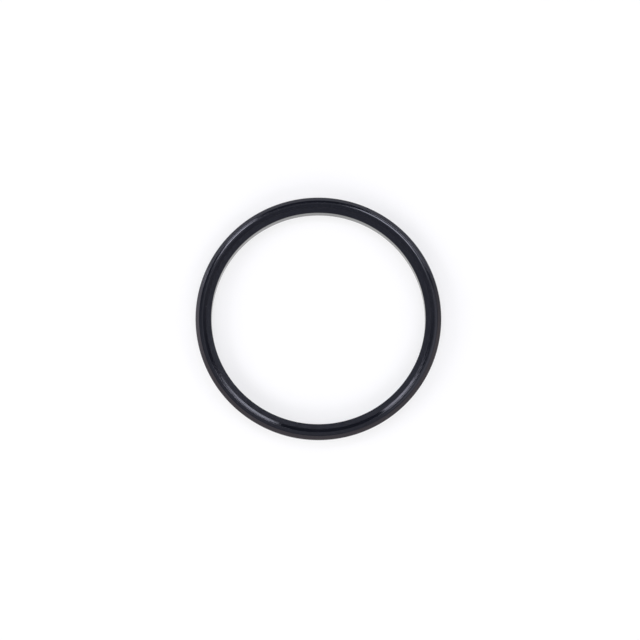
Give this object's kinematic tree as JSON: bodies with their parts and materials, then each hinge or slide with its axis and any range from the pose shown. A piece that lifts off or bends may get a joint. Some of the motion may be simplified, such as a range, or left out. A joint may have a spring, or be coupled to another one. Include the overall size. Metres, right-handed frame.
{
  "type": "o-ring",
  "caption": "Black rubber sealing ring with a rounded bead on its outer half, a nearly flat land round the bore and a straight bore wall.",
  "frame": {"origin": "centre of the bore, on the flat underside", "axes": "+Z along the ring's axis, towards the beaded face"},
  "size_m": [0.0482, 0.0482, 0.0034],
  "materials": {
    "black_rubber": "smooth moulded black rubber with a satin gloss"
  },
  "bodies": {
    "root": {"seal_ring": "black_rubber"}
  },
  "joints": []
}
